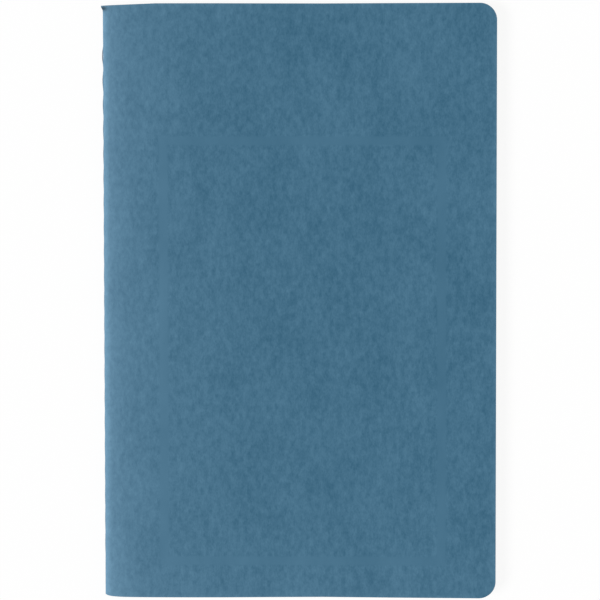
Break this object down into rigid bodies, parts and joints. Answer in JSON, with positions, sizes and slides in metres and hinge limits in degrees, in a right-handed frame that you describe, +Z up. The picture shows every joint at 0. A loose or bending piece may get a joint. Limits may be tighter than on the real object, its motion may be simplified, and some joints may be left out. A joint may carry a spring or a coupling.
{
  "type": "softcover notebook",
  "caption": "Slim thread-stitched notebook with a plain dusty blue card cover, rounded fore corners and blank off-white leaves",
  "frame": {"origin": "centre of the underside of the closed notebook, lying on its back cover; the outline includes the thread on the spine", "axes": "+X from the spine to the fore edge, +Y to the head, +Z up through the front cover"},
  "size_m": [0.139, 0.21, 0.0071],
  "materials": {
    "cover_card": "matt dyed card with a fine fibrous mottle",
    "page_paper": "uncoated off-white writing paper",
    "binding_thread": "twisted greyish blue sewing thread"
  },
  "bodies": {
    "back_half": {"cover_back": "cover_card", "outer_thread": "binding_thread"},
    "front_half": {"cover_spine_front": "cover_card", "sheet_01_front_leaf": "page_paper"},
    "front_cover": {"cover_front": "cover_card"},
    "front_leaf_02": {"sheet_02_front_leaf": "page_paper"},
    "front_leaf_03": {"sheet_03_front_leaf": "page_paper"},
    "front_leaf_04": {"sheet_04_front_leaf": "page_paper"},
    "front_leaf_05": {"sheet_05_front_leaf": "page_paper"},
    "front_leaf_06": {"sheet_06_front_leaf": "page_paper"},
    "front_leaf_07": {"sheet_07_front_leaf": "page_paper"},
    "front_leaf_08": {"sheet_08_front_leaf": "page_paper"},
    "front_leaf_09": {"sheet_09_front_leaf": "page_paper"},
    "front_leaf_10": {"sheet_10_front_leaf": "page_paper"},
    "front_leaf_11": {"sheet_11_front_leaf": "page_paper"},
    "front_leaf_12": {"sheet_12_front_leaf": "page_paper"},
    "front_leaf_13": {"sheet_13_front_leaf": "page_paper"},
    "front_leaf_14": {"sheet_14_front_leaf": "page_paper"},
    "front_leaf_15": {"sheet_15_front_leaf": "page_paper"},
    "front_leaf_16": {"sheet_16_front_leaf": "page_paper"},
    "front_leaf_17": {"sheet_17_front_leaf": "page_paper"},
    "front_leaf_18": {"sheet_18_front_leaf": "page_paper"},
    "front_leaf_19": {"sheet_19_front_leaf": "page_paper"},
    "front_leaf_20": {"sheet_20_front_leaf": "page_paper"},
    "back_leaf_20": {"sheet_20_back_leaf": "page_paper", "inner_thread": "binding_thread"},
    "back_leaf_19": {"sheet_19_back_leaf": "page_paper"},
    "back_leaf_18": {"sheet_18_back_leaf": "page_paper"},
    "back_leaf_17": {"sheet_17_back_leaf": "page_paper"},
    "back_leaf_16": {"sheet_16_back_leaf": "page_paper"},
    "back_leaf_15": {"sheet_15_back_leaf": "page_paper"},
    "back_leaf_14": {"sheet_14_back_leaf": "page_paper"},
    "back_leaf_13": {"sheet_13_back_leaf": "page_paper"},
    "back_leaf_12": {"sheet_12_back_leaf": "page_paper"},
    "back_leaf_11": {"sheet_11_back_leaf": "page_paper"},
    "back_leaf_10": {"sheet_10_back_leaf": "page_paper"},
    "back_leaf_09": {"sheet_09_back_leaf": "page_paper"},
    "back_leaf_08": {"sheet_08_back_leaf": "page_paper"},
    "back_leaf_07": {"sheet_07_back_leaf": "page_paper"},
    "back_leaf_06": {"sheet_06_back_leaf": "page_paper"},
    "back_leaf_05": {"sheet_05_back_leaf": "page_paper"},
    "back_leaf_04": {"sheet_04_back_leaf": "page_paper"},
    "back_leaf_03": {"sheet_03_back_leaf": "page_paper"},
    "back_leaf_02": {"sheet_02_back_leaf": "page_paper"},
    "back_leaf_01": {"sheet_01_back_leaf": "page_paper"}
  },
  "joints": [
    {"name": "centre_spread_opening", "type": "hinge", "parent": "back_half", "child": "front_half", "pos_m": [-0.0695, 0, 0.00357], "axis": [0, -1, 0], "range_deg": [0, 176]},
    {"name": "front_cover_hinge", "type": "hinge", "parent": "front_half", "child": "front_cover", "pos_m": [-0.06543, 0, 0.00714], "axis": [0, -1, 0], "range_deg": [0, 180]},
    {"name": "front_leaf_02_turn", "type": "hinge", "parent": "back_half", "child": "front_leaf_02", "pos_m": [-0.0695, 0, 0.00357], "axis": [0, -1, 0], "range_deg": [0, 175.38]},
    {"name": "front_leaf_03_turn", "type": "hinge", "parent": "back_half", "child": "front_leaf_03", "pos_m": [-0.0695, 0, 0.00357], "axis": [0, -1, 0], "range_deg": [0, 174.77]},
    {"name": "front_leaf_04_turn", "type": "hinge", "parent": "back_half", "child": "front_leaf_04", "pos_m": [-0.0695, 0, 0.00357], "axis": [0, -1, 0], "range_deg": [0, 174.15]},
    {"name": "front_leaf_05_turn", "type": "hinge", "parent": "back_half", "child": "front_leaf_05", "pos_m": [-0.0695, 0, 0.00357], "axis": [0, -1, 0], "range_deg": [0, 173.54]},
    {"name": "front_leaf_06_turn", "type": "hinge", "parent": "back_half", "child": "front_leaf_06", "pos_m": [-0.0695, 0, 0.00357], "axis": [0, -1, 0], "range_deg": [0, 172.92]},
    {"name": "front_leaf_07_turn", "type": "hinge", "parent": "back_half", "child": "front_leaf_07", "pos_m": [-0.0695, 0, 0.00357], "axis": [0, -1, 0], "range_deg": [0, 172.3]},
    {"name": "front_leaf_08_turn", "type": "hinge", "parent": "back_half", "child": "front_leaf_08", "pos_m": [-0.0695, 0, 0.00357], "axis": [0, -1, 0], "range_deg": [0, 171.69]},
    {"name": "front_leaf_09_turn", "type": "hinge", "parent": "back_half", "child": "front_leaf_09", "pos_m": [-0.0695, 0, 0.00357], "axis": [0, -1, 0], "range_deg": [0, 171.07]},
    {"name": "front_leaf_10_turn", "type": "hinge", "parent": "back_half", "child": "front_leaf_10", "pos_m": [-0.0695, 0, 0.00357], "axis": [0, -1, 0], "range_deg": [0, 170.46]},
    {"name": "front_leaf_11_turn", "type": "hinge", "parent": "back_half", "child": "front_leaf_11", "pos_m": [-0.0695, 0, 0.00357], "axis": [0, -1, 0], "range_deg": [0, 169.84]},
    {"name": "front_leaf_12_turn", "type": "hinge", "parent": "back_half", "child": "front_leaf_12", "pos_m": [-0.0695, 0, 0.00357], "axis": [0, -1, 0], "range_deg": [0, 169.22]},
    {"name": "front_leaf_13_turn", "type": "hinge", "parent": "back_half", "child": "front_leaf_13", "pos_m": [-0.0695, 0, 0.00357], "axis": [0, -1, 0], "range_deg": [0, 168.61]},
    {"name": "front_leaf_14_turn", "type": "hinge", "parent": "back_half", "child": "front_leaf_14", "pos_m": [-0.0695, 0, 0.00357], "axis": [0, -1, 0], "range_deg": [0, 167.99]},
    {"name": "front_leaf_15_turn", "type": "hinge", "parent": "back_half", "child": "front_leaf_15", "pos_m": [-0.0695, 0, 0.00357], "axis": [0, -1, 0], "range_deg": [0, 167.38]},
    {"name": "front_leaf_16_turn", "type": "hinge", "parent": "back_half", "child": "front_leaf_16", "pos_m": [-0.0695, 0, 0.00357], "axis": [0, -1, 0], "range_deg": [0, 166.76]},
    {"name": "front_leaf_17_turn", "type": "hinge", "parent": "back_half", "child": "front_leaf_17", "pos_m": [-0.0695, 0, 0.00357], "axis": [0, -1, 0], "range_deg": [0, 166.14]},
    {"name": "front_leaf_18_turn", "type": "hinge", "parent": "back_half", "child": "front_leaf_18", "pos_m": [-0.0695, 0, 0.00357], "axis": [0, -1, 0], "range_deg": [0, 165.53]},
    {"name": "front_leaf_19_turn", "type": "hinge", "parent": "back_half", "child": "front_leaf_19", "pos_m": [-0.0695, 0, 0.00357], "axis": [0, -1, 0], "range_deg": [0, 164.91]},
    {"name": "front_leaf_20_turn", "type": "hinge", "parent": "back_half", "child": "front_leaf_20", "pos_m": [-0.0695, 0, 0.00357], "axis": [0, -1, 0], "range_deg": [0, 164.3]},
    {"name": "back_leaf_20_turn", "type": "hinge", "parent": "back_half", "child": "back_leaf_20", "pos_m": [-0.0695, 0, 0.00357], "axis": [0, -1, 0], "range_deg": [0, 12.32]},
    {"name": "back_leaf_19_turn", "type": "hinge", "parent": "back_half", "child": "back_leaf_19", "pos_m": [-0.0695, 0, 0.00357], "axis": [0, -1, 0], "range_deg": [0, 11.7]},
    {"name": "back_leaf_18_turn", "type": "hinge", "parent": "back_half", "child": "back_leaf_18", "pos_m": [-0.0695, 0, 0.00357], "axis": [0, -1, 0], "range_deg": [0, 11.09]},
    {"name": "back_leaf_17_turn", "type": "hinge", "parent": "back_half", "child": "back_leaf_17", "pos_m": [-0.0695, 0, 0.00357], "axis": [0, -1, 0], "range_deg": [0, 10.47]},
    {"name": "back_leaf_16_turn", "type": "hinge", "parent": "back_half", "child": "back_leaf_16", "pos_m": [-0.0695, 0, 0.00357], "axis": [0, -1, 0], "range_deg": [0, 9.86]},
    {"name": "back_leaf_15_turn", "type": "hinge", "parent": "back_half", "child": "back_leaf_15", "pos_m": [-0.0695, 0, 0.00357], "axis": [0, -1, 0], "range_deg": [0, 9.24]},
    {"name": "back_leaf_14_turn", "type": "hinge", "parent": "back_half", "child": "back_leaf_14", "pos_m": [-0.0695, 0, 0.00357], "axis": [0, -1, 0], "range_deg": [0, 8.62]},
    {"name": "back_leaf_13_turn", "type": "hinge", "parent": "back_half", "child": "back_leaf_13", "pos_m": [-0.0695, 0, 0.00357], "axis": [0, -1, 0], "range_deg": [0, 8.01]},
    {"name": "back_leaf_12_turn", "type": "hinge", "parent": "back_half", "child": "back_leaf_12", "pos_m": [-0.0695, 0, 0.00357], "axis": [0, -1, 0], "range_deg": [0, 7.39]},
    {"name": "back_leaf_11_turn", "type": "hinge", "parent": "back_half", "child": "back_leaf_11", "pos_m": [-0.0695, 0, 0.00357], "axis": [0, -1, 0], "range_deg": [0, 6.78]},
    {"name": "back_leaf_10_turn", "type": "hinge", "parent": "back_half", "child": "back_leaf_10", "pos_m": [-0.0695, 0, 0.00357], "axis": [0, -1, 0], "range_deg": [0, 6.16]},
    {"name": "back_leaf_09_turn", "type": "hinge", "parent": "back_half", "child": "back_leaf_09", "pos_m": [-0.0695, 0, 0.00357], "axis": [0, -1, 0], "range_deg": [0, 5.54]},
    {"name": "back_leaf_08_turn", "type": "hinge", "parent": "back_half", "child": "back_leaf_08", "pos_m": [-0.0695, 0, 0.00357], "axis": [0, -1, 0], "range_deg": [0, 4.93]},
    {"name": "back_leaf_07_turn", "type": "hinge", "parent": "back_half", "child": "back_leaf_07", "pos_m": [-0.0695, 0, 0.00357], "axis": [0, -1, 0], "range_deg": [0, 4.31]},
    {"name": "back_leaf_06_turn", "type": "hinge", "parent": "back_half", "child": "back_leaf_06", "pos_m": [-0.0695, 0, 0.00357], "axis": [0, -1, 0], "range_deg": [0, 3.7]},
    {"name": "back_leaf_05_turn", "type": "hinge", "parent": "back_half", "child": "back_leaf_05", "pos_m": [-0.0695, 0, 0.00357], "axis": [0, -1, 0], "range_deg": [0, 3.08]},
    {"name": "back_leaf_04_turn", "type": "hinge", "parent": "back_half", "child": "back_leaf_04", "pos_m": [-0.0695, 0, 0.00357], "axis": [0, -1, 0], "range_deg": [0, 2.46]},
    {"name": "back_leaf_03_turn", "type": "hinge", "parent": "back_half", "child": "back_leaf_03", "pos_m": [-0.0695, 0, 0.00357], "axis": [0, -1, 0], "range_deg": [0, 1.85]},
    {"name": "back_leaf_02_turn", "type": "hinge", "parent": "back_half", "child": "back_leaf_02", "pos_m": [-0.0695, 0, 0.00357], "axis": [0, -1, 0], "range_deg": [0, 1.23]},
    {"name": "back_leaf_01_turn", "type": "hinge", "parent": "back_half", "child": "back_leaf_01", "pos_m": [-0.0695, 0, 0.00357], "axis": [0, -1, 0], "range_deg": [0, 0.616]}
  ],
  "couplings": [
    {"joint": "front_leaf_02_turn", "follows": "centre_spread_opening", "ratio": 0.9965},
    {"joint": "front_leaf_03_turn", "follows": "centre_spread_opening", "ratio": 0.993},
    {"joint": "front_leaf_04_turn", "follows": "centre_spread_opening", "ratio": 0.9895},
    {"joint": "front_leaf_05_turn", "follows": "centre_spread_opening", "ratio": 0.986},
    {"joint": "front_leaf_06_turn", "follows": "centre_spread_opening", "ratio": 0.9825},
    {"joint": "front_leaf_07_turn", "follows": "centre_spread_opening", "ratio": 0.979},
    {"joint": "front_leaf_08_turn", "follows": "centre_spread_opening", "ratio": 0.9755},
    {"joint": "front_leaf_09_turn", "follows": "centre_spread_opening", "ratio": 0.972},
    {"joint": "front_leaf_10_turn", "follows": "centre_spread_opening", "ratio": 0.9685},
    {"joint": "front_leaf_11_turn", "follows": "centre_spread_opening", "ratio": 0.965},
    {"joint": "front_leaf_12_turn", "follows": "centre_spread_opening", "ratio": 0.9615},
    {"joint": "front_leaf_13_turn", "follows": "centre_spread_opening", "ratio": 0.958},
    {"joint": "front_leaf_14_turn", "follows": "centre_spread_opening", "ratio": 0.9545},
    {"joint": "front_leaf_15_turn", "follows": "centre_spread_opening", "ratio": 0.951},
    {"joint": "front_leaf_16_turn", "follows": "centre_spread_opening", "ratio": 0.9475},
    {"joint": "front_leaf_17_turn", "follows": "centre_spread_opening", "ratio": 0.944},
    {"joint": "front_leaf_18_turn", "follows": "centre_spread_opening", "ratio": 0.9405},
    {"joint": "front_leaf_19_turn", "follows": "centre_spread_opening", "ratio": 0.937},
    {"joint": "front_leaf_20_turn", "follows": "centre_spread_opening", "ratio": 0.9335},
    {"joint": "back_leaf_20_turn", "follows": "centre_spread_opening", "ratio": 0.07},
    {"joint": "back_leaf_19_turn", "follows": "centre_spread_opening", "ratio": 0.0665},
    {"joint": "back_leaf_18_turn", "follows": "centre_spread_opening", "ratio": 0.063},
    {"joint": "back_leaf_17_turn", "follows": "centre_spread_opening", "ratio": 0.0595},
    {"joint": "back_leaf_16_turn", "follows": "centre_spread_opening", "ratio": 0.056},
    {"joint": "back_leaf_15_turn", "follows": "centre_spread_opening", "ratio": 0.0525},
    {"joint": "back_leaf_14_turn", "follows": "centre_spread_opening", "ratio": 0.049},
    {"joint": "back_leaf_13_turn", "follows": "centre_spread_opening", "ratio": 0.0455},
    {"joint": "back_leaf_12_turn", "follows": "centre_spread_opening", "ratio": 0.042},
    {"joint": "back_leaf_11_turn", "follows": "centre_spread_opening", "ratio": 0.0385},
    {"joint": "back_leaf_10_turn", "follows": "centre_spread_opening", "ratio": 0.035},
    {"joint": "back_leaf_09_turn", "follows": "centre_spread_opening", "ratio": 0.0315},
    {"joint": "back_leaf_08_turn", "follows": "centre_spread_opening", "ratio": 0.028},
    {"joint": "back_leaf_07_turn", "follows": "centre_spread_opening", "ratio": 0.0245},
    {"joint": "back_leaf_06_turn", "follows": "centre_spread_opening", "ratio": 0.021},
    {"joint": "back_leaf_05_turn", "follows": "centre_spread_opening", "ratio": 0.0175},
    {"joint": "back_leaf_04_turn", "follows": "centre_spread_opening", "ratio": 0.014},
    {"joint": "back_leaf_03_turn", "follows": "centre_spread_opening", "ratio": 0.0105},
    {"joint": "back_leaf_02_turn", "follows": "centre_spread_opening", "ratio": 0.007},
    {"joint": "back_leaf_01_turn", "follows": "centre_spread_opening", "ratio": 0.0035}
  ]
}
